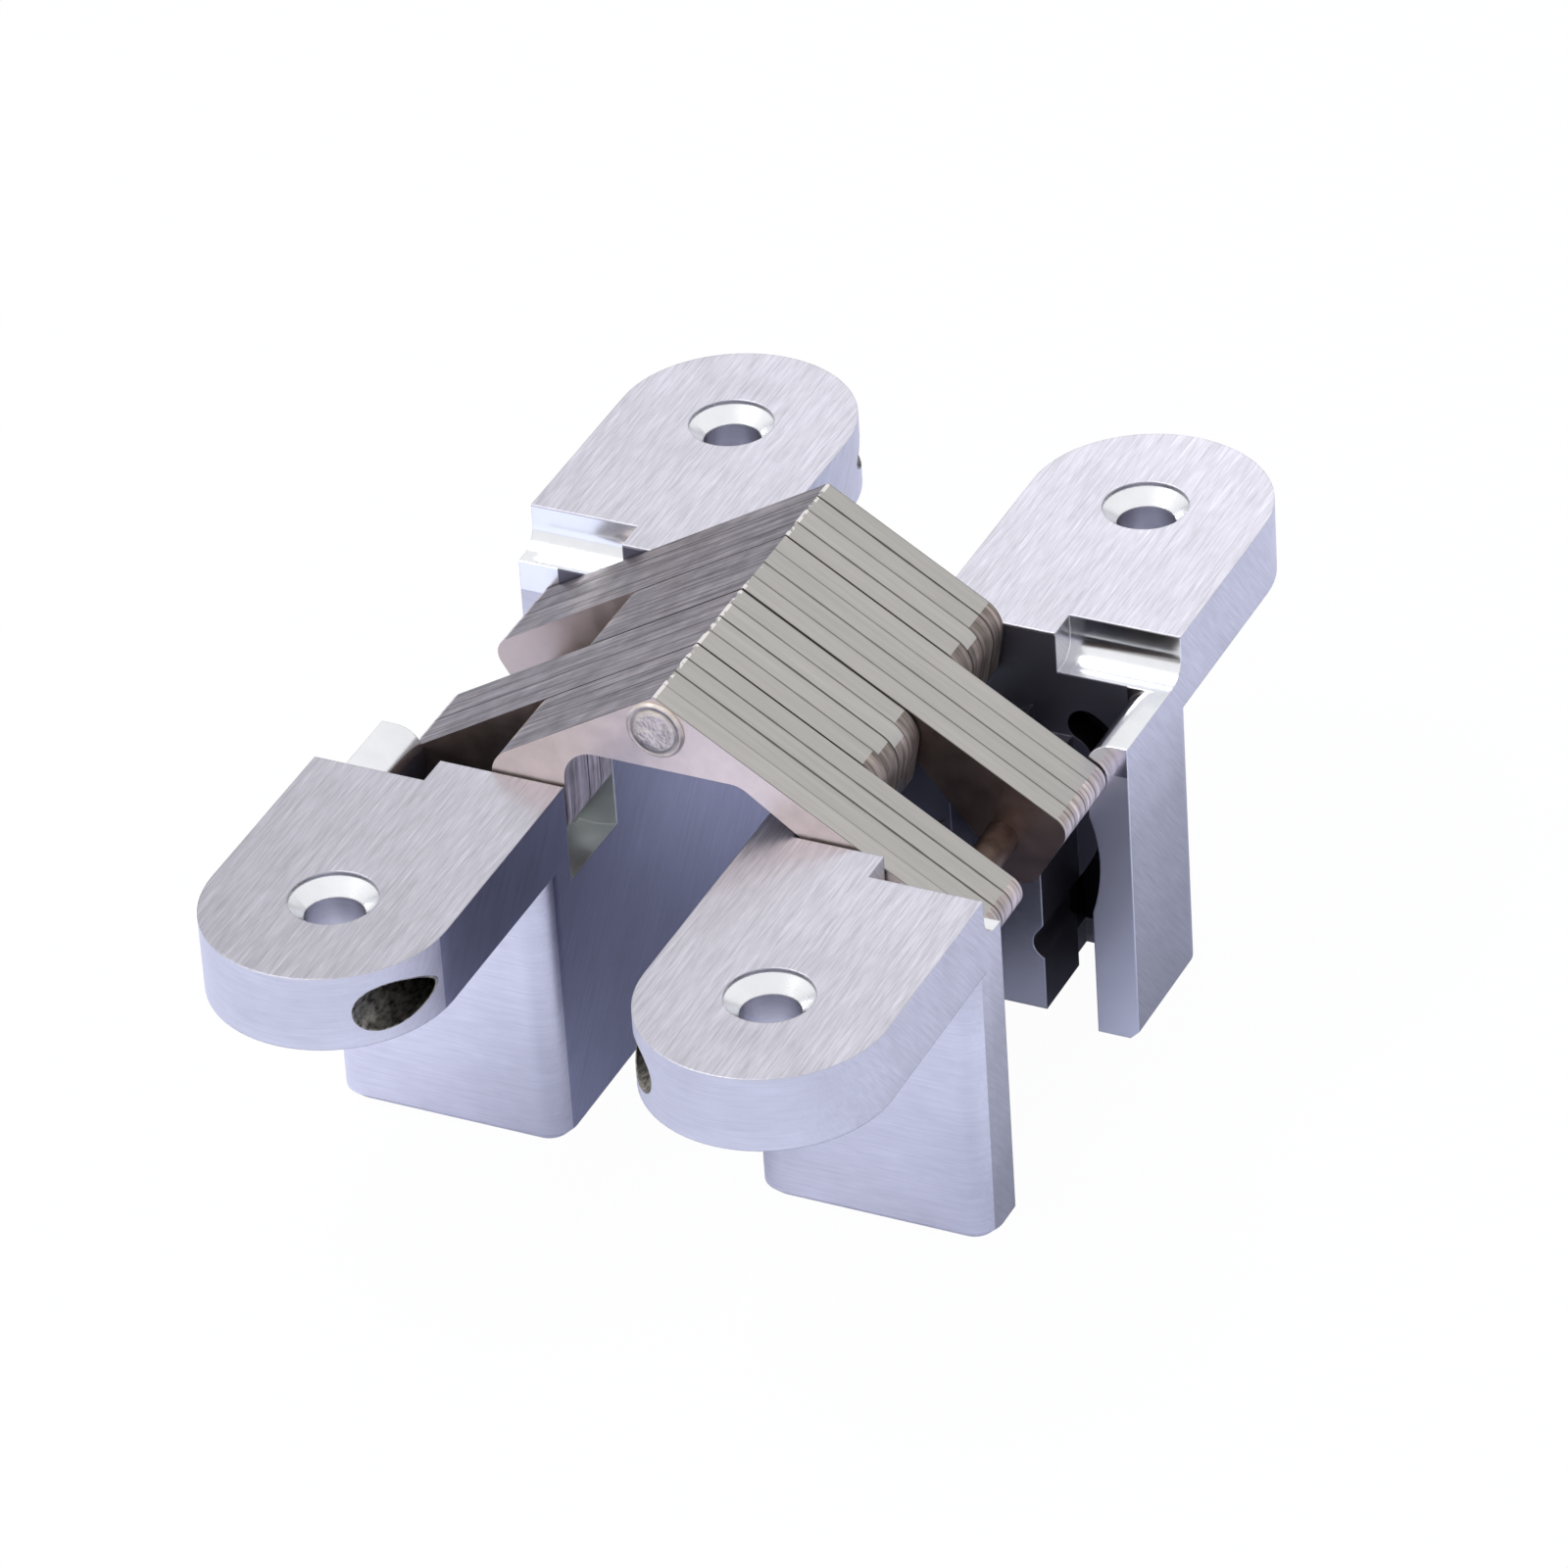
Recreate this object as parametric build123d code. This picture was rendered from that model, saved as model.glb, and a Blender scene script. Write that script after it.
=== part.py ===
"""Concealed furniture hinge with two pocketed leaves and two laminated links, lying fully open.

X runs across the leaves (fixed leaf at -X, moving leaf at +X), Y runs along them, Z points up.
The hinge stands on the bottoms of its two housings; all sizes are in millimetres.
"""

import math
import os

from build123d import *

os.makedirs("parts", exist_ok=True)

# Leaf casting
leaf_width = 25.4
leaf_length = 117.5
leaf_depth = 39.7              # from the face down to the bottom of the housing
plate_thickness = 8.3
face_gap = 20.8                # between the two leaves when the hinge lies open
housing_length = 53.0
housing_corner_radius = 3.0
housing_bottom_chamfer = 1.0
inner_wall = 5.2               # wall beside the other leaf
inner_wall_chamfer = 1.5       # lets the long arms pass over the inner wall
web_post_width = 5.4           # webs that carry the seats of the short arms, beside the inner wall
web_foot_width = 9.6           # their wider lower part
web_foot_top = -12.0           # from the face
web_bottom = 0.4               # above the bottom of the housing
seat_radius = 7.2              # of the seat under a swinging short arm
seat_corner_sweep = 20.0       # degrees of the swing in which its rounded corner reaches past that radius
outer_wall = 4.5               # short wall at the far side, at the fourth position only
outer_wall_roll = 3.0          # rounding of its inner top edge
pocket_half_length = 20.6
recess_half_length = 24.2      # cut-back of the face beside the pocket
recess_width = 12.0            # measured from the outer face
recess_depth = 4.6
recess_sweep_radius = 2.4

# Screw holes
screw_spacing = 90.4
screw_hole_diameter = 6.0
countersink_diameter = 8.9
countersink_rim = 0.5
countersink_depth = 2.0

# Link pack: four groups of four plates
link_plate = 2.5
plates_per_group = 4
groups = 4
group_gap = 0.2
group_length = plates_per_group * link_plate
group_pitch = group_length + group_gap
pack_half_length = (groups * group_pitch - group_gap) / 2

# Link outline, seen along the pins; heights are measured from the leaf face
centre_height = 9.0            # centre pin above the face when the hinge lies open
ridge_above_centre = 3.7
arm_slope = 31.3               # degrees, of both top edges
long_arm_length = 40.0         # along the top edge, from the ridge
long_arm_end_width = 10.4
crotch_below_centre = 4.6
neck_x = 8.6
neck_slope = 36.0
neck_length = 8.0
short_arm_foot = -6.6
short_arm_foot_x = 17.3
short_arm_corner_x = 18.75

# Pivots
pivot_inset = 2.8              # pivot pin inside the inner face of the leaf
pivot_height = -4.4
closed_centre_height = 1.25    # centre pin above the face when the hinge is shut
slide_x = 26.6
slide_height = -10.5
pivot_pin_diameter = 3.8
centre_pin_diameter = 4.0
rivet_head_diameter = 6.2
rivet_head_height = 0.4
rivet_head_chamfer = 0.25
slide_pin_diameter = 3.5
pin_chamfer = 0.3
pivot_pin_half_length = 26.0
slide_pin_reach = 24.0         # into the slot of the end wall beside its first group
bore_mouth_diameter = 5.0      # wider drilling through which the pivot pin is driven in
bore_mouth_start = 27.0

# Clearances
fixed_fit = 0.02               # radial, pin held by the piece
running_fit = 0.05             # radial, piece turns on the pin
slot_fit = 0.12                # each side of the slide pin
scoop_clearance = 0.35         # between the swinging short arm and its seat
web_clearance = 0.6            # between a web and the long arms beside it

# Helpers of the drawing
overshoot = 1.0                # by which cutting shapes pass the surface that they cut
slot_spans = 8                 # parts in which the slots' curves are drawn

half_gap = face_gap / 2
outer_face = half_gap + leaf_width
leaf_centre = half_gap + leaf_width / 2
pocket_inner = half_gap + inner_wall
wall_inner = outer_face - outer_wall
recess_inner = outer_face - recess_width

pivot = Vector(half_gap + pivot_inset, pivot_height)
centre = Vector(0, centre_height)
slide = Vector(slide_x, slide_height)
ridge = Vector(0, centre_height + ridge_above_centre)


def heading(angle):
    """Unit vector at an angle in degrees."""
    return Vector(math.cos(math.radians(angle)), math.sin(math.radians(angle)))


# The top edge of a link is the part of its short arm that lies furthest from the pivot
short_arm_reach = abs((pivot - ridge).dot(heading(90 - arm_slope)))

# Movement: the links turn on the pivot pins while the long arms slide down their slots
swing_radius = (centre - pivot).length
open_angle = math.degrees(math.atan2(centre_height - pivot_height, -pivot.X))
shut_angle = math.degrees(math.asin((closed_centre_height - pivot_height) / swing_radius))
link_turn = open_angle - shut_angle
arm_turn = 180 - link_turn


def turned(vector, angle):
    """Vector turned by an angle in degrees."""
    return vector.rotate(Axis.Z, angle)


def slide_position(share):
    """Slide pin centre in the leaf when the given share of the whole movement is done."""
    moved_centre = pivot + heading(open_angle - link_turn * share) * swing_radius
    return moved_centre + turned(slide - centre, -arm_turn * share)


def slide_heading(share):
    """Direction in which the slide pin travels at that share of the movement."""
    step = 0.001
    return (slide_position(share + step) - slide_position(share - step)).normalized()


def prism(outline, front, back):
    """Solid with an outline drawn in x and z (z from the leaf face), between two stations along the leaf."""
    drawing_plane = Plane(origin=(0, back, leaf_depth), x_dir=(1, 0, 0), z_dir=(0, -1, 0))
    return extrude(drawing_plane * outline, amount=back - front)


def rounded_outline(corners):
    """Face through corners given as (x, z, radius)."""
    points = [(x, z) for x, z, radius in corners]
    return make_face(FilletPolyline(*points, radius=[radius for x, z, radius in corners], close=True))


def block(x_from, x_to, y_from, y_to, z_from, z_to):
    """Box between two heights above the bottom of the housings."""
    size = (x_to - x_from, y_to - y_from, z_to - z_from)
    middle = ((x_from + x_to) / 2, (y_from + y_to) / 2, (z_from + z_to) / 2)
    return Pos(*middle) * Box(*size)


def group_front(position):
    """Station at which a group of plates begins; positions count from 0 at the front."""
    return -pack_half_length + position * group_pitch


def disc(middle, radius):
    """Round face at a point of the outline."""
    return Pos(middle.X, middle.Y) * Circle(radius)


def rod(middle, radius, front, back):
    """Round bar along the leaf with chamfered ends."""
    bar = prism(disc(middle, radius), front, back)
    return chamfer(bar.edges().filter_by(GeomType.CIRCLE), pin_chamfer)


def slot_outline(half_width):
    """Curved slot that follows the slide pin from open to shut."""
    shares = [i / slot_spans for i in range(slot_spans + 1)]
    outer, inner = [], []
    for share in shares:
        middle = slide_position(share)
        across = turned(slide_heading(share), 90) * half_width
        outer.append(middle + across)
        inner.append(middle - across)
    top = slide_position(0) - slide_heading(0) * half_width
    bottom = slide_position(1) + slide_heading(1) * half_width
    sides = [Spline(*outer), ThreePointArc(outer[-1], bottom, inner[-1]),
             Spline(*reversed(inner)), ThreePointArc(inner[0], top, outer[0])]
    return make_face(sides)


def leaf_blank():
    """Round-ended face plate with the housing under its middle."""
    plate = extrude(Pos(leaf_centre, 0, leaf_depth) * SlotOverall(leaf_length, leaf_width, rotation=90),
                    amount=-plate_thickness)
    half = housing_length / 2
    housing = block(half_gap, outer_face, -half, half, 0, leaf_depth - plate_thickness / 2)
    housing = fillet(housing.edges().filter_by(Axis.Z), housing_corner_radius)
    housing = chamfer(housing.faces().sort_by(Axis.Z)[0].edges(), housing_bottom_chamfer)
    return plate + housing


def screw_hole(side):
    """Countersunk through hole near a round end."""
    hole = Cylinder(screw_hole_diameter / 2, 3 * plate_thickness)
    rim = Pos(0, 0, -countersink_rim / 2) * Cylinder(countersink_diameter / 2, countersink_rim)
    cone_height = countersink_depth - countersink_rim
    cone = Pos(0, 0, -countersink_rim - cone_height / 2) * Cone(
        screw_hole_diameter / 2, countersink_diameter / 2, cone_height)
    return Pos(leaf_centre, side * screw_spacing / 2, leaf_depth) * (hole + rim + cone)


def pocket():
    """Room for the long arms, open at the bottom and, along three positions, at the outer side."""
    wall_start = group_front(3)
    bottom, top = -overshoot, leaf_depth + overshoot
    open_side = block(pocket_inner, outer_face + overshoot, -pocket_half_length, wall_start, bottom, top)
    walled = block(pocket_inner, wall_inner, wall_start, pocket_half_length, bottom, top)
    return open_side + walled


def recess():
    """Cut-back of the face around the pocket's outer part, with swept end walls."""
    half = recess_half_length
    floor = leaf_depth - recess_depth
    top = leaf_depth + overshoot
    corners = [(-half, top), (-half, floor), (half, floor), (half, top)]
    outline = FilletPolyline(*corners, radius=[0, recess_sweep_radius, recess_sweep_radius, 0], close=True)
    section = Plane(origin=(recess_inner, 0, 0), x_dir=(0, 1, 0), z_dir=(1, 0, 0)) * make_face(outline)
    return extrude(section, amount=recess_width + overshoot)


def web(front, back):
    """Web beside the inner wall that carries the seat of a short arm."""
    inside = pocket_inner - overshoot
    post = block(inside, pocket_inner + web_post_width, front, back, web_bottom, leaf_depth)
    foot = block(inside, pocket_inner + web_foot_width, front, back, web_bottom, leaf_depth + web_foot_top)
    return post + foot


def short_arm_room(front, back):
    """Room in which a short arm swings: a round seat and all that the shut link covers."""
    reach = short_arm_reach + scoop_clearance
    facing = 90 - arm_slope - link_turn
    corner = pivot + heading(facing - seat_corner_sweep) * reach
    touch = pivot + heading(facing) * reach
    far = touch + heading(facing + 90) * leaf_width
    inside, above = half_gap - overshoot, far.Y + leaf_width
    corners = [(inside, pivot_height), (pivot.X, pivot.Y), (corner.X, corner.Y), (touch.X, touch.Y),
               (far.X, far.Y), (far.X, above), (inside, above)]
    outline = make_face(Polyline(*corners, corners[0]))
    return prism(outline, front, back) + prism(disc(pivot, seat_radius), front, back)


def arm_chamfer(front, back):
    """Chamfer on the inner wall where a long arm passes over it."""
    leg = inner_wall_chamfer + overshoot
    corner_x = pocket_inner + overshoot
    corners = [(corner_x, overshoot), (corner_x - leg - overshoot, overshoot), (corner_x, -leg)]
    return prism(make_face(Polyline(*corners, corners[0])), front, back)


def wall_roll():
    """Rounding of the outer wall's inner top edge."""
    size = outer_wall_roll
    top = -recess_depth
    corner = Pos(wall_inner + size / 2, top - size / 2) * Rectangle(size, size)
    round_part = disc(Vector(wall_inner + size, top - size), size)
    return prism(corner - round_part, group_front(3), pocket_half_length)


def slide_slots():
    """Guide slots in the end walls, open at the bottom, and the pin's way through the webs."""
    half_width = slide_pin_diameter / 2 + slot_fit
    end = slide_position(1)
    way = prism(slot_outline(half_width), -recess_half_length, recess_half_length)
    for side in (-1, 1):
        stations = sorted((side * (pocket_half_length - overshoot), side * recess_half_length))
        way += block(end.X - half_width, end.X + half_width, *stations, -overshoot, leaf_depth + end.Y)
    return way


def pivot_bore():
    """Bore for the pivot pin, wider towards both round ends."""
    bore = prism(disc(pivot, pivot_pin_diameter / 2 + fixed_fit), -leaf_length / 2, leaf_length / 2)
    for side in (-1, 1):
        stations = sorted((side * bore_mouth_start, side * leaf_length / 2))
        bore += prism(disc(pivot, bore_mouth_diameter / 2), *stations)
    return bore


def leaf():
    """Moving leaf where it lies when the hinge is open."""
    body = leaf_blank() - pocket()
    body += web(group_front(1) + web_clearance, group_front(2) - web_clearance)
    body += web(group_front(3) + 2 * web_clearance, pocket_half_length + overshoot)
    body -= recess()
    body -= short_arm_room(group_front(1) - group_gap, group_front(2))
    body -= short_arm_room(group_front(3) - group_gap, pocket_half_length)
    body -= arm_chamfer(-pocket_half_length, group_front(1) - group_gap)
    body -= arm_chamfer(group_front(2), group_front(3) - group_gap)
    body -= wall_roll()
    body -= slide_slots()
    body -= pivot_bore()
    for side in (-1, 1):
        body -= screw_hole(side)
    return body


def link_corners():
    """Outline of a link, short arm towards -X and long arm towards +X."""
    along = heading(-arm_slope)
    across = turned(along, -90)
    tip_top = ridge + along * long_arm_length
    tip_bottom = tip_top + across * long_arm_end_width
    crotch = centre_height - crotch_below_centre
    neck = Vector(neck_x, crotch)
    neck_end = neck + heading(-neck_slope) * neck_length
    corner_z = ridge.Y - short_arm_corner_x * math.tan(math.radians(arm_slope))
    return [(ridge.X, ridge.Y, 0), (tip_top.X, tip_top.Y, 2.0), (tip_bottom.X, tip_bottom.Y, 2.0),
            (neck_end.X, neck_end.Y, 6.0), (neck.X, neck.Y, 3.0), (-half_gap, crotch, 3.5),
            (-half_gap, short_arm_foot, 2.6), (-short_arm_foot_x, short_arm_foot, 2.2),
            (-short_arm_corner_x, corner_z, 3.5)]


def link_plate_solid(position, number):
    """One plate of link A; the centre and pivot holes run on their pins, the slide pin is held."""
    outline = rounded_outline(link_corners())
    outline -= disc(centre, centre_pin_diameter / 2 + running_fit)
    outline -= disc(Vector(-pivot.X, pivot.Y), pivot_pin_diameter / 2 + running_fit)
    outline -= disc(slide, slide_pin_diameter / 2 + fixed_fit)
    front = group_front(position) + number * link_plate
    return prism(outline, front, front + link_plate)


def centre_pin():
    """Shaft with a dimpled rivet head at each end."""
    shaft = prism(disc(centre, centre_pin_diameter / 2), -pack_half_length, pack_half_length)
    for side in (-1, 1):
        inner, outer = side * pack_half_length, side * (pack_half_length + rivet_head_height)
        head = prism(disc(centre, rivet_head_diameter / 2), min(inner, outer), max(inner, outer))
        rim = head.faces().sort_by(Axis.Y)[0 if side < 0 else -1].edges()
        shaft += chamfer(rim, rivet_head_chamfer)
    return shaft


def half_turn(shape):
    """The same shape turned half a turn about the vertical axis."""
    return Rot(0, 0, 180) * shape


def save(shape, name):
    """Write one piece as a STEP file."""
    solid = shape.solids()[0]
    solid.label = name
    export_step(solid, os.path.join("parts", name + ".step"))
    print(name, "volume", round(solid.volume, 1), "solids", len(shape.solids()))


moving_leaf = leaf()
save(moving_leaf, "moving_leaf")
save(half_turn(moving_leaf), "fixed_leaf")

moving_pivot_pin = rod(pivot, pivot_pin_diameter / 2, -pivot_pin_half_length, pivot_pin_half_length)
save(moving_pivot_pin, "moving_pivot_pin")
save(half_turn(moving_pivot_pin), "fixed_pivot_pin")
save(centre_pin(), "centre_pin")

moving_slide_pin = rod(slide, slide_pin_diameter / 2, -slide_pin_reach, group_front(3) - group_gap)
save(moving_slide_pin, "moving_slide_pin")
save(half_turn(moving_slide_pin), "fixed_slide_pin")

plate_count = 0
for group_position in (0, 2):
    for plate_number in range(plates_per_group):
        plate_count += 1
        plate = link_plate_solid(group_position, plate_number)
        save(plate, "link_a_plate_" + str(plate_count))
        save(half_turn(plate), "link_b_plate_" + str(plate_count))

print("link turn", round(link_turn, 4), "arm turn", round(arm_turn, 4))
print("pivot", pivot.X, leaf_depth + pivot.Y, "centre", leaf_depth + centre.Y)
print("shut slide pin", slide_position(1), "short arm reach", round(short_arm_reach, 3))
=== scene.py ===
"""Looks of the concealed hinge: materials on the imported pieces, a studio and the photograph's camera."""

import math

import bpy
from mathutils import Matrix, Vector


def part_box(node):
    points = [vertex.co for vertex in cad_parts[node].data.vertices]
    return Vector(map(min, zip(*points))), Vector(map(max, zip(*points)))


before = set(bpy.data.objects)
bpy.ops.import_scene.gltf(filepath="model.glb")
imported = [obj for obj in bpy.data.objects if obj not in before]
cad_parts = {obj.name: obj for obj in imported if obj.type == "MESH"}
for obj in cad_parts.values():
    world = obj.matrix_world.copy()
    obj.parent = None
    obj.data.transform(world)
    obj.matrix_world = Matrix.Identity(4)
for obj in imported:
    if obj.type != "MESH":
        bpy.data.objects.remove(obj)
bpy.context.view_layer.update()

MM = 0.001

# Tolerances around a surface
HAIR = 0.05 * MM
TOUCH = 0.1 * MM

# Sizes that the materials share with the solids, read from the frame
leaf_low, leaf_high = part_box("moving_leaf")
plate_low, plate_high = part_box("link_a_plate_1")
head_low, head_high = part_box("centre_pin")
FACE = leaf_high.z
INNER_FACE = leaf_low.x
OUTER_FACE = leaf_high.x
LEAF_END = leaf_high.y
PACK_HALF = -plate_low.y
PLATE = plate_high.y - plate_low.y
GROUP_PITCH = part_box("link_b_plate_8")[0].y - plate_low.y
PLATES_PER_GROUP = 4.0
RIDGE_HEIGHT = plate_high.z
PIN_HEIGHT = (head_low.z + head_high.z) / 2
HEAD_RADIUS = (head_high.z - head_low.z) / 2
HEAD_GROOVE = HEAD_RADIUS - 0.65 * MM
pivot_low, pivot_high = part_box("moving_pivot_pin")
BORE_X, BORE_Z = (pivot_low.x + pivot_high.x) / 2, (pivot_low.z + pivot_high.z) / 2
BORE_RADIUS = 2.6 * MM

# Limits of the areas of a leaf that look different, in the moving leaf's place
POCKET_INNER = INNER_FACE + 5.2 * MM
POCKET_HALF = 20.6 * MM
POCKET_TOP = FACE - 0.3 * MM
POCKET_BACK = POCKET_HALF - 1.0 * MM
WALL_INNER = OUTER_FACE - 4.5 * MM
RECESS_HALF = 24.2 * MM
RECESS_INNER = OUTER_FACE - 12.0 * MM
RECESS_TOP = FACE - 0.2 * MM
RECESS_FLOOR = FACE - 8.0 * MM
SLOT_OUTER = OUTER_FACE - 2.0 * MM
SLOT_FLOOR = 3.0 * MM
SEAT_TOP = FACE - 1.0 * MM
INNER_DIM_FRONT = -45 * MM
INNER_DIM_BACK = -25 * MM
HOUSING_HIGH = FACE - 6 * MM
HOUSING_LOW = FACE - 16 * MM
WEB_LIT_HIGH = FACE - 18 * MM
WEB_LIT_LOW = FACE - 26 * MM

# Where the ridge and the round ends of the arms lie: away from the ridge, or as a height where it says low
SHORT_END_NEAR = 16.5 * MM
SHORT_END_FAR = 18.9 * MM
SHORT_END_LOW = 32.5 * MM
SHORT_END_STAGGER = 1.6 * MM
LONG_END_NEAR = 32.0 * MM
# Distance from the ridge where the painted shade in the gap between the arms starts to fade
GAP_SHADE_FADE_START = 14.0 * MM
RIDGE_HALF = 0.22 * MM
RIDGE_LOW = RIDGE_HEIGHT - 0.6 * MM

# A normal's share along an axis, above which a face counts as square to it, steep or slanting
SQUARE_ON = 0.9
STEEP = 0.6
SLANTING = 0.5

# Widths of seams, grooves and rounded edges
SEAM_NARROWEST = 0.09 * MM
SEAM_WIDTH_RANGE = 0.13 * MM
GROOVE_HALF = 0.28 * MM
HEAD_SHOULDER = 0.6 * MM
EDGE_ROUNDING = 0.25 * MM

# Grains per metre along x, y and z
BRUSHED = (3300, 130, 3300)
BRUSHED_FINE = (9000, 420, 9000)
SLANTED = (3600, 190, 3600)
LEVEL = (220, 220, 3600)
PITTED = (1800, 900, 1800)
CLOUD = (160, 160, 160)
SHEARED = (90, 1900, 90)
WAVERED = (350, 350, 350)
RUBBED = (420, 420, 420)
SPECKED = (700, 700, 700)
PATCHED = (90, 90, 90)
HAMMERED = (750, 750, 750)

# Tones between which a noise moves a colour
GRAIN_TONE = (0.74, 1.20)
CLOUD_TONE = (0.95, 1.04)
POLISH_TONE = (0.92, 1.03)
PIT_TONE = (0.2, 2.2)
SHEARED_TONE = (0.93, 1.05)
STREAK_TONE = (0.40, 1.60)
WAVER_TONE = (0.75, 1.25)
SEAM_WAVER = (0.7, 1.3)
PLATE_TONE_LOW = 0.96
PLATE_TONE_RANGE = 0.08
FACE_TONE = (0.90, 1.06)
HAMMER_TONE = (0.74, 1.06)

# Painted light and shade on the leaves by place: tops lighter with a slope per metre, sides darker high up
# and lighter low down, the outer housing darker
TOP_PAINTED_LIGHT = 1.03
TOP_LIGHT_SLOPE_X = 3.6
TOP_LIGHT_SLOPE_Y = 3.4
SIDE_PAINTED_LIGHT_HIGH = 0.93
SIDE_PAINTED_LIGHT_LOW = 1.14
OUTER_HOUSING_SHADE = 0.62

# Brush marks: how they lie, how strong they are, and how much of the lengthwise ones is fine
SLANT = math.radians(50)
SLANT_CONTRAST = 0.5
LEVEL_CONTRAST = 0.28
FINE_SHARE = 0.4
TURNED_GRAIN = 0.55

# Roughness
SATIN = 0.34
SATIN_RANGE = (-0.06, 0.08)
SINK_ROUGHNESS = 0.24
RECESS_ROUGHNESS = 0.17
RAW_ROUGHNESS = 0.5
PLATE_ROUGHNESS = (0.36, 0.48)
BLANKED_ROUGHNESS = 0.6
PIN_ROUGHNESS = (0.34, 0.46)

# Colours of the leaves
CASTING_TOP = (0.625, 0.615, 0.69)
CASTING_SIDE = (0.60, 0.592, 0.64)
# Painted shade on the inner face, which faces the other leaf
CASTING_INNER_SHADE = (0.335, 0.34, 0.44)
CASTING_POLISHED = (0.86, 0.87, 0.90)
# Painted highlight on the ledge in the notch
CASTING_SEAT_HIGHLIGHT = (0.82, 0.86, 0.85)
# Painted light on the pocket's end walls and the lower front of the web
CASTING_WALL_END_LIT = (0.90, 0.91, 1.0)
# Rough raw casting of the pocket, darkened with painted shade
CASTING_RAW_SHADED = (0.18, 0.176, 0.22)
# Painted shade: the slots' insides black
SLOT_SHADE_BLACK = (0.03, 0.03, 0.04)
BORE_GREY = (0.20, 0.19, 0.175)

# Colours of the plates and pins
EDGE_GREY = (0.455, 0.44, 0.425)
# Painted shade on the plate edges facing left
EDGE_LEFT_SHADE = (0.20, 0.177, 0.187)
EDGE_BROWN = (0.30, 0.255, 0.235)
EDGE_LONG_END = (0.52, 0.455, 0.445)
EDGE_MIDDLE = (0.68, 0.60, 0.59)
RIDGE_BARE = (0.80, 0.76, 0.74)
FACE_OUTERMOST = (0.74, 0.64, 0.60)
# Painted shade on the plate sides inside the pack, darkest in the gap between the arms and paler outwards
FACE_IN_PACK_SHADE = (0.56, 0.475, 0.44)
GAP_SHADE_DARK = (0.20, 0.155, 0.145)
GAP_SHADE_PALE = (0.33, 0.25, 0.225)
SEAM_DARK = (0.05, 0.045, 0.04)
PIN_DARK = (0.16, 0.115, 0.098)
HEAD_PALE = (0.66, 0.595, 0.56)

# Colours of the studio
FLOOR_PALE = (0.87, 0.89, 1.0)
SKY_PALE = (0.85, 0.88, 1.0)
LAMP_COOL = (0.90, 0.93, 1.0)
WHITE = (1.0, 1.0, 1.0)

# The photograph's camera, fitted to the outlines of both leaves
CAMERA_AIM = Vector((9.563, -12.632, 39.661)) * MM
CAMERA_AZIMUTH = 26.975
CAMERA_ELEVATION = 34.217
CAMERA_ROLL = 3.888
CAMERA_DISTANCE = 956.4 * MM
CAMERA_LENS = 226.2
SENSOR_WIDTH = 36.0


def make_node(tree, kind, inputs=None, **settings):
    """Add a shader node; inputs are sockets to link or plain values, a colour being three numbers."""
    item = tree.nodes.new("ShaderNode" + kind)
    for name, value in settings.items():
        setattr(item, name, value)
    for key, value in (inputs or {}).items():
        socket = item.inputs[key]
        if isinstance(value, bpy.types.NodeSocket):
            tree.links.new(value, socket)
        else:
            socket.default_value = (*value, 1.0) if socket.type == "RGBA" else value
    return item


def calc(tree, operation, first, second=0.0, third=0.0):
    """Output of a math node."""
    return make_node(tree, "Math", {0: first, 1: second, 2: third}, operation=operation).outputs[0]


def chain(tree, operation, values):
    """Output of one math operation on two or more values in turn."""
    result = values[0]
    for value in values[1:]:
        result = calc(tree, operation, result, value)
    return result


def both(tree, *masks):
    """Product of masks or tones."""
    return chain(tree, "MULTIPLY", masks)


def either(tree, *masks):
    """Largest of masks."""
    return chain(tree, "MAXIMUM", masks)


def above(tree, value, limit):
    """Mask of what lies over a limit."""
    return calc(tree, "GREATER_THAN", value, limit)


def below(tree, value, limit):
    """Mask of what lies under a limit."""
    return calc(tree, "LESS_THAN", value, limit)


def invert(tree, mask):
    """Mask of the rest."""
    return calc(tree, "SUBTRACT", 1.0, mask)


def absolute(tree, value):
    """Value without its sign."""
    return calc(tree, "ABSOLUTE", value)


def ramp(tree, value, start, end, low=0.0, high=1.0):
    """Value between a start and an end, carried over to a range and held outside it."""
    return make_node(tree, "MapRange", {0: value, 1: start, 2: end, 3: low, 4: high}).outputs[0]


def spread(tree, noise, low, high):
    """Noise between 0.3 and 0.7, where most of it lies, stretched to a range."""
    return ramp(tree, noise, 0.3, 0.7, low, high)


def softened(tree, noise, strength):
    """Noise with its contrast around 0.5 reduced."""
    return calc(tree, "MULTIPLY_ADD", calc(tree, "SUBTRACT", noise, 0.5), strength, 0.5)


def mix_colour(tree, factor, first, second):
    """Colour between two colours."""
    return make_node(tree, "Mix", {0: factor, 6: first, 7: second}, data_type="RGBA").outputs[2]


def mix_value(tree, factor, first, second):
    """Value between two values."""
    return make_node(tree, "Mix", {0: factor, 2: first, 3: second}, data_type="FLOAT").outputs[0]


def scaled_colour(tree, colour, tone):
    """Colour times a tone."""
    return make_node(tree, "VectorMath", {0: colour, "Scale": tone}, operation="SCALE").outputs[0]


def painted(tree, colour, layers):
    """Colour with layers of mask and colour over it, the last one on top."""
    for mask, layer in layers:
        colour = mix_colour(tree, mask, colour, layer)
    return colour


def split(tree, vector):
    """The three components of a vector."""
    return make_node(tree, "SeparateXYZ", {0: vector}).outputs


def distance(tree, first, second):
    """Length of a vector from two components."""
    return calc(tree, "SQRT", calc(tree, "ADD", both(tree, first, first), both(tree, second, second)))


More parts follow.
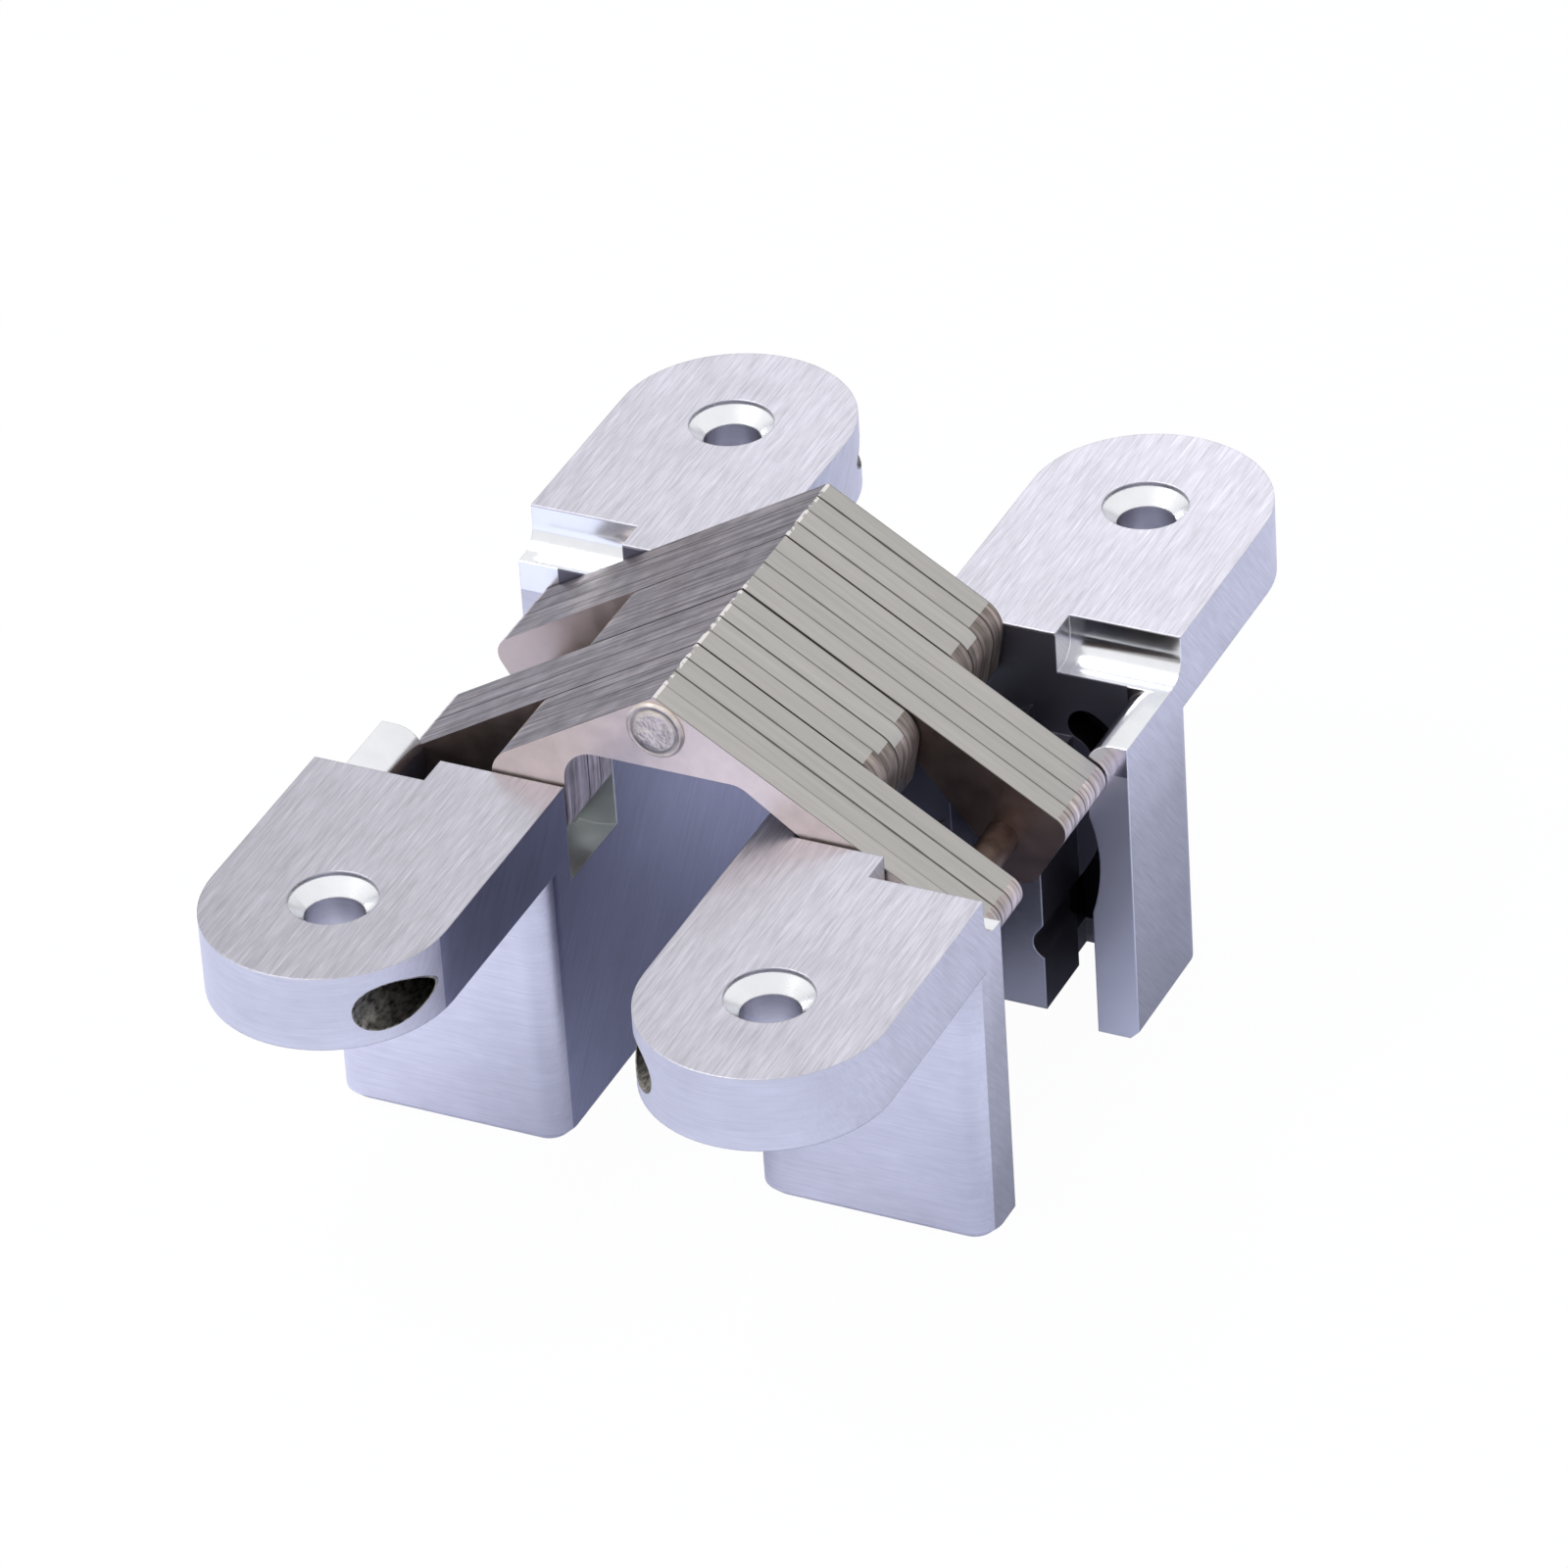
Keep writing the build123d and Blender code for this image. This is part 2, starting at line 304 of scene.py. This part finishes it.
def stretched_noise(tree, vector, scale, detail):
    """Noise whose grain is set per axis, in grains per metre."""
    mapping = make_node(tree, "Mapping", {"Vector": vector, "Scale": scale})
    settings = {"Vector": mapping.outputs[0], "Scale": 1.0, "Detail": detail, "Roughness": 0.6}
    return make_node(tree, "TexNoise", settings).outputs["Fac"]


def random_by(tree, number):
    """A random value for each whole number."""
    return make_node(tree, "TexWhiteNoise", {"W": number}, noise_dimensions="1D").outputs["Value"]


def new_material(name):
    """Metal with its tree, holding only the shader and the output."""
    material = bpy.data.materials.new(name)
    material.use_nodes = True
    tree = material.node_tree
    tree.nodes.clear()
    shader = make_node(tree, "BsdfPrincipled")
    shader.inputs["Metallic"].default_value = 1.0
    make_node(tree, "OutputMaterial", {"Surface": shader.outputs[0]})
    return material, tree, shader


def place(tree, side):
    """Coordinates and normal of a leaf; the fixed leaf is the moving one turned half a turn."""
    source = make_node(tree, "TexCoord")
    turn = (side, side, 1.0)
    point = make_node(tree, "VectorMath", {0: source.outputs["Object"], 1: turn}, operation="MULTIPLY")
    normal = make_node(tree, "VectorMath", {0: source.outputs["Normal"], 1: turn}, operation="MULTIPLY")
    return point.outputs[0], normal.outputs[0]


def leaf_zones(tree, point, normal):
    """Masks of the areas of a leaf that look different."""
    x, y, z = split(tree, point)
    nx, ny, nz = split(tree, normal)
    reach = absolute(tree, y)

    turned = both(tree, above(tree, nz, 0.15), below(tree, nz, SQUARE_ON))
    sink = both(tree, turned, above(tree, reach, LEAF_END / 2))
    # Painted shade on the inner face, fading out over part of its length
    inner_face_shade = both(tree, below(tree, nx, -SQUARE_ON), below(tree, x, INNER_FACE + TOUCH),
                      ramp(tree, y, INNER_DIM_FRONT, INNER_DIM_BACK))

    pocket = both(tree, above(tree, x, POCKET_INNER - HAIR), below(tree, x, WALL_INNER + TOUCH),
                  below(tree, reach, POCKET_HALF + TOUCH), below(tree, z, POCKET_TOP))
    facing_front = both(tree, below(tree, ny, -SLANTING), below(tree, y, POCKET_BACK))
    inside_front = both(tree, facing_front, above(tree, y, -POCKET_HALF))
    # Painted light on the end wall of the pocket and on the lower front of the web
    painted_lit_end = both(tree, inside_front, above(tree, x, WALL_INNER))
    notch_wall = both(tree, inside_front, below(tree, x, POCKET_INNER))
    painted_lit_web = both(tree, facing_front, pocket, ramp(tree, z, WEB_LIT_HIGH, WEB_LIT_LOW))
    # Pocket and notch walls: rough raw casting, darkened with painted shade
    raw_and_shaded = either(tree, both(tree, pocket, invert(tree, painted_lit_web)), notch_wall)

    recess = both(tree, above(tree, x, RECESS_INNER - TOUCH), below(tree, reach, RECESS_HALF + TOUCH),
                  below(tree, z, RECESS_TOP), above(tree, z, RECESS_FLOOR), invert(tree, raw_and_shaded),
                  below(tree, nx, 0.95))
    # Painted highlight on the seat in the notch
    seat = both(tree, below(tree, x, POCKET_INNER), below(tree, reach, POCKET_HALF),
                below(tree, z, SEAT_TOP), above(tree, nx, -0.85))
    # The slots' insides, painted black as shade
    slot = both(tree, above(tree, reach, POCKET_HALF + HAIR), below(tree, reach, RECESS_HALF + HAIR),
                above(tree, x, POCKET_INNER), below(tree, x, SLOT_OUTER),
                below(tree, z, RECESS_FLOOR - HAIR), above(tree, z, SLOT_FLOOR))
    off_axis = distance(tree, calc(tree, "SUBTRACT", x, BORE_X), calc(tree, "SUBTRACT", z, BORE_Z))
    bore = both(tree, below(tree, off_axis, BORE_RADIUS), above(tree, reach, RECESS_HALF))

    return {
        "top": above(tree, nz, SQUARE_ON),
        "level": above(tree, absolute(tree, nz), SQUARE_ON),
        "along": absolute(tree, ny),
        "housing": ramp(tree, z, HOUSING_HIGH, HOUSING_LOW),
        "outer_side": above(tree, nx, SQUARE_ON),
        "inner_face_shade": inner_face_shade,
        "turned": turned,
        "sink": sink,
        "painted_lit_end": either(tree, painted_lit_end, painted_lit_web),
        "raw_and_shaded": raw_and_shaded,
        "recess": recess,
        "seat": seat,
        "slot": slot,
        "bore": bore,
    }


def leaf_grain(tree, point, zone):
    """Brush marks: lengthwise on level faces, slanting on sides, level on ends, none in countersinks."""
    level = softened(tree, stretched_noise(tree, point, LEVEL, 3.0), LEVEL_CONTRAST)
    tilted = make_node(tree, "VectorRotate", {"Vector": point, "Angle": SLANT},
                       rotation_type="X_AXIS").outputs[0]
    slanted = softened(tree, stretched_noise(tree, tilted, SLANTED, 3.0), SLANT_CONTRAST)
    upright = mix_value(tree, zone["along"], slanted, level)
    lengthwise = mix_value(tree, FINE_SHARE, stretched_noise(tree, point, BRUSHED, 3.0),
                           stretched_noise(tree, point, BRUSHED_FINE, 2.0))
    brushed = mix_value(tree, zone["level"], upright, lengthwise)
    return mix_value(tree, zone["turned"], brushed, TURNED_GRAIN)


def leaf_tone_and_light(tree, point, zone, grain, cloud, side):
    """Brightness of the satin faces, with painted light and shade: the tops a little brighter towards the
    back and the right, the sides darker high up and brighter low down, the outer housing darker.
    """
    x, y, _ = split(tree, point)
    # Painted light on the tops and sides, painted shade on the outer housing
    slope = calc(tree, "ADD", calc(tree, "MULTIPLY", x, TOP_LIGHT_SLOPE_X * side),
                 calc(tree, "MULTIPLY", y, TOP_LIGHT_SLOPE_Y * side))
    top_light = mix_value(tree, zone["top"], 1.0, calc(tree, "ADD", slope, TOP_PAINTED_LIGHT))
    side_light = mix_value(tree, zone["housing"], SIDE_PAINTED_LIGHT_HIGH, SIDE_PAINTED_LIGHT_LOW)
    outer_housing_shade = both(tree, zone["outer_side"], zone["housing"])
    return both(tree, spread(tree, grain, *GRAIN_TONE), spread(tree, cloud, *CLOUD_TONE), top_light,
                mix_value(tree, outer_housing_shade, 1.0, OUTER_HOUSING_SHADE),
                mix_value(tree, zone["top"], side_light, 1.0))


def leaf_colour(tree, point, zone, tone, cloud):
    """Satin faces with painted light and shade, painted shade on the inner face, polished recess and
    countersinks, a painted highlight on the ledge in the notch, painted light on the pocket's end walls, an
    as-cast pocket darkened with painted shade, slots painted black as shade and a pitted bore.
    """
    pitted = spread(tree, stretched_noise(tree, point, PITTED, 3.0), *PIT_TONE)
    polished = scaled_colour(tree, CASTING_POLISHED, spread(tree, cloud, *POLISH_TONE))
    return painted(tree, scaled_colour(tree, CASTING_SIDE, tone), [
        (zone["top"], scaled_colour(tree, CASTING_TOP, tone)),
        (zone["inner_face_shade"], scaled_colour(tree, CASTING_INNER_SHADE, tone)),
        (either(tree, zone["recess"], zone["sink"]), polished),
        (zone["seat"], CASTING_SEAT_HIGHLIGHT),
        (zone["painted_lit_end"], CASTING_WALL_END_LIT),
        (zone["raw_and_shaded"], CASTING_RAW_SHADED),
        (zone["slot"], SLOT_SHADE_BLACK),
        (zone["bore"], scaled_colour(tree, BORE_GREY, pitted)),
    ])


def leaf_roughness(tree, zone, grain):
    """Satin, with smoother recess and countersinks and a duller pocket."""
    rough = calc(tree, "ADD", SATIN, spread(tree, grain, *SATIN_RANGE))
    rough = mix_value(tree, zone["recess"], rough, RECESS_ROUGHNESS)
    rough = mix_value(tree, zone["sink"], rough, SINK_ROUGHNESS)
    return mix_value(tree, either(tree, zone["raw_and_shaded"], zone["slot"], zone["bore"]), rough, RAW_ROUGHNESS)


def leaf_material(side):
    """Satin plated casting: brushed along the face, as cast and darkened with painted shade in the pocket,
    bright in the recesses.
    """
    material, tree, shader = new_material("satin_casting_" + ("moving" if side > 0 else "fixed"))
    point, normal = place(tree, side)
    zone = leaf_zones(tree, point, normal)
    cloud = stretched_noise(tree, point, CLOUD, 3.0)
    grain = leaf_grain(tree, point, zone)
    # Tone of the faces, carrying their painted light and shade
    tone = leaf_tone_and_light(tree, point, zone, grain, cloud, side)
    tree.links.new(leaf_colour(tree, point, zone, tone, cloud), shader.inputs["Base Color"])
    tree.links.new(leaf_roughness(tree, zone, grain), shader.inputs["Roughness"])

    edge = make_node(tree, "Bevel", {"Radius": EDGE_ROUNDING}, samples=4)
    bump = make_node(tree, "Bump", {"Strength": 0.35, "Distance": 0.03 * MM, "Height": grain,
                                    "Normal": edge.outputs[0]})
    tree.links.new(bump.outputs[0], shader.inputs["Normal"])
    return material


def stack_position(tree, y):
    """Distance to the nearest seam between two plates, and a random value for the seam and the plate."""
    from_front = calc(tree, "ADD", y, PACK_HALF)
    in_group = calc(tree, "MODULO", from_front, GROUP_PITCH)
    in_plate = calc(tree, "MODULO", in_group, PLATE)
    from_seam = calc(tree, "MINIMUM", in_plate, calc(tree, "SUBTRACT", PLATE, in_plate))
    seam_index = calc(tree, "ROUND", calc(tree, "DIVIDE", from_front, PLATE))
    group = calc(tree, "FLOOR", calc(tree, "DIVIDE", from_front, GROUP_PITCH))
    index_in_group = calc(tree, "FLOOR", calc(tree, "DIVIDE", in_group, PLATE))
    plate_index = calc(tree, "MULTIPLY_ADD", group, PLATES_PER_GROUP, index_in_group)
    plate_random = random_by(tree, calc(tree, "ADD", plate_index, 37.0))
    return from_seam, random_by(tree, seam_index), plate_random


def seam_mask(tree, from_seam, seam_random, waver, flat):
    """Dark line between two plates, on their edges, each seam with its own width and depth."""
    width = both(tree, calc(tree, "MULTIPLY_ADD", seam_random, SEAM_WIDTH_RANGE, SEAM_NARROWEST),
                 spread(tree, waver, *SEAM_WAVER))
    depth = calc(tree, "MULTIPLY_ADD", seam_random, 0.75, 0.25)
    return both(tree, ramp(tree, from_seam, HAIR, width, 1.0, 0.0), depth, invert(tree, flat))


def plate_edge_layers(tree, point, normal, plate_random, waver, streak):
    """Layers over a plate's grey edge: painted mauve shade on the edges facing left, brown round ends, a
    rubbed ridge.
    """
    x, _, z = split(tree, point)
    nx, _, nz = split(tree, normal)
    away = absolute(tree, x)
    steep = above(tree, absolute(tree, nx), STEEP)
    # Edges facing left get a painted mauve shade
    left = both(tree, below(tree, nx, -0.3), above(tree, nz, 0.0))
    staggered = calc(tree, "MULTIPLY_ADD", plate_random, -SHORT_END_STAGGER, away)
    short_end = both(tree, above(tree, staggered, SHORT_END_NEAR), below(tree, away, SHORT_END_FAR),
                     above(tree, z, SHORT_END_LOW), steep)
    long_end = both(tree, above(tree, away, LONG_END_NEAR), steep)
    facing_middle = both(tree, below(tree, calc(tree, "MULTIPLY", x, nx), -0.5 * MM),
                         above(tree, absolute(tree, nx), SLANTING))
    ridge = both(tree, below(tree, away, RIDGE_HALF), above(tree, z, RIDGE_LOW),
                 above(tree, stretched_noise(tree, point, SPECKED, 2.0), 0.48),
                 above(tree, stretched_noise(tree, point, PATCHED, 1.0), 0.5))
    tone = both(tree, spread(tree, streak, *STREAK_TONE), spread(tree, waver, *WAVER_TONE))
    layers = [
        (left, scaled_colour(tree, EDGE_LEFT_SHADE, tone)),
        (short_end, scaled_colour(tree, EDGE_BROWN, tone)),
        (long_end, scaled_colour(tree, EDGE_LONG_END, tone)),
        (facing_middle, scaled_colour(tree, EDGE_MIDDLE, tone)),
        (ridge, RIDGE_BARE),
    ]
    return layers, short_end


def plate_face(tree, point, rub):
    """Flat side of a plate: pinkish outside the pack, darker with painted shade in it, darkest in the gap
    between the arms.
    """
    x, y, _ = split(tree, point)
    reach = absolute(tree, y)
    tone = spread(tree, rub, *FACE_TONE)
    # Painted shade in the gap between the arms, fading outwards
    outwards = ramp(tree, absolute(tree, x), GAP_SHADE_FADE_START, LONG_END_NEAR)
    gap_shade = mix_colour(tree, outwards, GAP_SHADE_DARK, GAP_SHADE_PALE)
    # Painted shade on the sides inside the pack
    return painted(tree, scaled_colour(tree, FACE_IN_PACK_SHADE, tone), [
        (above(tree, reach, PACK_HALF - TOUCH), scaled_colour(tree, FACE_OUTERMOST, tone)),
        (below(tree, reach, PACK_HALF / 2 + HAIR), scaled_colour(tree, gap_shade, tone)),
    ])


def plate_material():
    """Blanked steel plates: flat pinkish sides, grey sheared edges, dark seams between the plates; painted
    shade on the sides in the pack and on the edges facing left.
    """
    material, tree, shader = new_material("link_plate_steel")
    source = make_node(tree, "TexCoord")
    point, normal = source.outputs["Object"], source.outputs["Normal"]
    flat = above(tree, absolute(tree, split(tree, normal)[1]), 0.8)
    from_seam, seam_random, plate_random = stack_position(tree, split(tree, point)[1])
    waver = stretched_noise(tree, point, WAVERED, 2.0)
    streak = stretched_noise(tree, point, SHEARED, 4.0)
    rub = stretched_noise(tree, point, RUBBED, 5.0)
    seam = seam_mask(tree, from_seam, seam_random, waver, flat)

    edge_tone = both(tree, spread(tree, streak, *SHEARED_TONE),
                     calc(tree, "MULTIPLY_ADD", plate_random, PLATE_TONE_RANGE, PLATE_TONE_LOW))
    layers, short_end = plate_edge_layers(tree, point, normal, plate_random, waver, streak)
    edge = painted(tree, scaled_colour(tree, EDGE_GREY, edge_tone), layers)
    colour = painted(tree, edge, [(flat, plate_face(tree, point, rub)), (seam, SEAM_DARK)])
    tree.links.new(colour, shader.inputs["Base Color"])
    dull_end = both(tree, short_end, invert(tree, flat))
    rough = mix_value(tree, dull_end, spread(tree, rub, *PLATE_ROUGHNESS), BLANKED_ROUGHNESS)
    tree.links.new(rough, shader.inputs["Roughness"])

    height = calc(tree, "SUBTRACT", calc(tree, "MULTIPLY", streak, 0.3), seam)
    bump = make_node(tree, "Bump", {"Strength": 0.5, "Distance": 0.08 * MM, "Height": height})
    tree.links.new(bump.outputs[0], shader.inputs["Normal"])
    return material


def pin_material():
    """Steel of the pins; the rivet heads show a peened, dimpled middle inside a ring."""
    material, tree, shader = new_material("pin_steel")
    point = make_node(tree, "TexCoord").outputs["Object"]
    x, _, z = split(tree, point)
    radius = distance(tree, x, calc(tree, "SUBTRACT", z, PIN_HEIGHT))
    head = below(tree, radius, HEAD_RADIUS + TOUCH)
    from_groove = absolute(tree, calc(tree, "SUBTRACT", radius, HEAD_GROOVE))
    ring = ramp(tree, from_groove, HAIR, GROOVE_HALF, 1.0, 0.0)
    middle = ramp(tree, radius, HEAD_GROOVE, HEAD_GROOVE - HEAD_SHOULDER)
    hammer = stretched_noise(tree, point, HAMMERED, 3.0)
    tone = calc(tree, "SUBTRACT", spread(tree, hammer, *HAMMER_TONE), calc(tree, "MULTIPLY", ring, 0.30))
    colour = mix_colour(tree, head, scaled_colour(tree, PIN_DARK, tone), scaled_colour(tree, HEAD_PALE, tone))
    tree.links.new(colour, shader.inputs["Base Color"])
    tree.links.new(spread(tree, hammer, *PIN_ROUGHNESS), shader.inputs["Roughness"])

    height = calc(tree, "SUBTRACT", both(tree, middle, hammer, 3.0), both(tree, ring, 0.6))
    bump = make_node(tree, "Bump", {"Strength": 1.0, "Distance": 0.16 * MM, "Height": height})
    tree.links.new(bump.outputs[0], shader.inputs["Normal"])
    return material


def dress():
    """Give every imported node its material."""
    leaves = {"fixed_leaf": leaf_material(-1.0), "moving_leaf": leaf_material(1.0)}
    plates, pins = plate_material(), pin_material()
    for name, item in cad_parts.items():
        material = leaves.get(name) or (plates if "plate" in name else pins)
        item.data.materials.clear()
        item.data.materials.append(material)


def floor():
    """Pale floor; white to the camera, with a little of the object's shadow left on it.

    It is clear from below, so that the underside of the hinge can be looked at.
    """
    bpy.ops.mesh.primitive_plane_add(size=6.0, location=(0, 0, -HAIR))
    ground = bpy.context.object
    ground.name = "studio_floor"
    material = bpy.data.materials.new("pale_floor")
    material.use_nodes = True
    tree = material.node_tree
    tree.nodes.clear()
    matt = make_node(tree, "BsdfDiffuse", {"Color": FLOOR_PALE})
    white = make_node(tree, "Emission", {"Color": WHITE, "Strength": 1.0})
    seen_white = calc(tree, "MULTIPLY", make_node(tree, "LightPath").outputs["Is Camera Ray"], 0.97)
    mixed = make_node(tree, "MixShader", {0: seen_white, 1: matt.outputs[0], 2: white.outputs[0]})
    clear = make_node(tree, "BsdfTransparent")
    from_below = make_node(tree, "NewGeometry").outputs["Backfacing"]
    one_sided = make_node(tree, "MixShader", {0: from_below, 1: mixed.outputs[0], 2: clear.outputs[0]})
    make_node(tree, "OutputMaterial", {"Surface": one_sided.outputs[0]})
    ground.data.materials.append(material)


def area_lamp(name, place_at, aim_at, size, power, colour, mirrored):
    """Soft square lamp aimed at a point; the metal mirrors it or leaves it out."""
    data = bpy.data.lights.new(name, "AREA")
    data.size = size
    data.energy = power
    data.color = colour
    lamp = bpy.data.objects.new(name, data)
    lamp.location = place_at
    lamp.visible_camera = False
    lamp.visible_glossy = mirrored
    lamp.rotation_euler = (Vector(aim_at) - Vector(place_at)).to_track_quat("-Z", "Y").to_euler()
    bpy.context.scene.collection.objects.link(lamp)


def studio():
    """White surroundings for what the camera and the metal see, softer light for the rest."""
    world = bpy.data.worlds.new("studio")
    bpy.context.scene.world = world
    world.use_nodes = True
    tree = world.node_tree
    tree.nodes.clear()
    path = make_node(tree, "LightPath").outputs
    seen = either(tree, path["Is Camera Ray"], path["Is Glossy Ray"], path["Is Transmission Ray"])
    soft = make_node(tree, "Background", {"Color": SKY_PALE, "Strength": 0.75})
    white = make_node(tree, "Background", {"Color": WHITE, "Strength": 1.0})
    mixed = make_node(tree, "MixShader", {0: seen, 1: soft.outputs[0], 2: white.outputs[0]})
    make_node(tree, "OutputWorld", {"Surface": mixed.outputs[0]})
    aim = (0, 0, 30 * MM)
    area_lamp("key", (-0.35, -0.10, 0.75), aim, size=0.5, power=3.4, colour=WHITE, mirrored=True)
    area_lamp("fill", (0.10, -0.75, 0.25), aim, size=0.6, power=3.0, colour=LAMP_COOL, mirrored=False)


def camera():
    """Camera at the photograph's angle."""
    azimuth, elevation, roll = (math.radians(v) for v in (CAMERA_AZIMUTH, CAMERA_ELEVATION, CAMERA_ROLL))
    back = Vector((math.sin(azimuth) * math.cos(elevation), -math.cos(azimuth) * math.cos(elevation),
                   math.sin(elevation)))
    level = Vector((math.cos(azimuth), math.sin(azimuth), 0))
    upright = back.cross(level)
    right = level * math.cos(roll) - upright * math.sin(roll)
    up = level * math.sin(roll) + upright * math.cos(roll)
    data = bpy.data.cameras.new("photo_camera")
    data.lens = CAMERA_LENS
    data.sensor_width = SENSOR_WIDTH
    data.clip_start = 0.05
    data.clip_end = 20.0
    view = bpy.data.objects.new("photo_camera", data)
    turn = Matrix((right, up, back)).transposed().to_4x4()
    view.matrix_world = Matrix.Translation(CAMERA_AIM + back * CAMERA_DISTANCE) @ turn
    bpy.context.scene.collection.objects.link(view)
    bpy.context.scene.camera = view


dress()
floor()
studio()
camera()
bpy.context.scene.view_settings.view_transform = "Standard"
